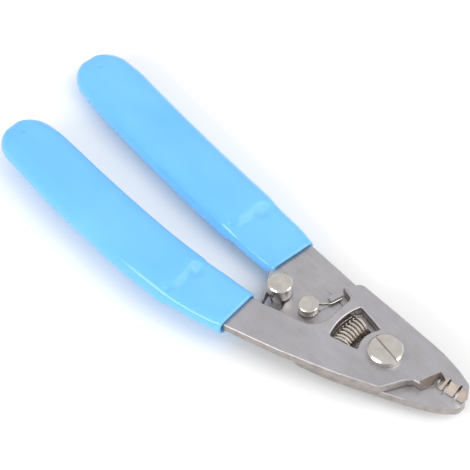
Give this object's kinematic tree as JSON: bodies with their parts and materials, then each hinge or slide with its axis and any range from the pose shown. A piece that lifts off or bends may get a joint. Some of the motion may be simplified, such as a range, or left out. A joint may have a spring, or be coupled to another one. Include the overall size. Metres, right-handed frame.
{
  "type": "fibre stripper",
  "caption": "Fibre stripping pliers: overlapping steel blades with notched jaws, slotted pivot screw, opening spring in a window, thumb lock and dipped vinyl grips.",
  "frame": {"origin": "on the surface the tool lies on, under the middle of its bounding box, handles closed and locked", "axes": "+X from the handles to the nose, +Y towards the upper handle (the one on the rear blade), +Z along the pivot axis, towards the screw's head"},
  "size_m": [0.1676, 0.058, 0.0122],
  "materials": {
    "blade_steel": "fine satin ground steel",
    "nickel": "polished nickel plate",
    "spring_wire": "bright drawn wire",
    "vinyl": "glossy dipped vinyl, light blue"
  },
  "bodies": {
    "rear_half": {"rear_blade": "blade_steel", "rear_grip": "vinyl", "pivot_screw": "nickel", "pivot_nut": "nickel", "opening_spring": "spring_wire"},
    "front_half": {"front_blade": "blade_steel", "front_grip": "vinyl"},
    "lock_lever": {"lock_pawl": "blade_steel", "lock_shaft": "nickel", "lock_crank": "blade_steel", "thumb_knob": "nickel", "lock_spring": "spring_wire"}
  },
  "joints": [
    {"name": "handles_open", "type": "hinge", "parent": "rear_half", "child": "front_half", "pos_m": [0.05755, 0.00243, 0.00925], "axis": [0, 0, 1], "range_deg": [0, 8], "deforming": ["opening_spring"]},
    {"name": "lock_turn", "type": "hinge", "parent": "rear_half", "child": "lock_lever", "pos_m": [0.03085, -0.00087, 0.00925], "axis": [0, 0, 1], "range_deg": [0, 24]}
  ],
  "couplings": [
    {"joint": "lock_turn", "follows": "handles_open", "ratio": 3}
  ]
}
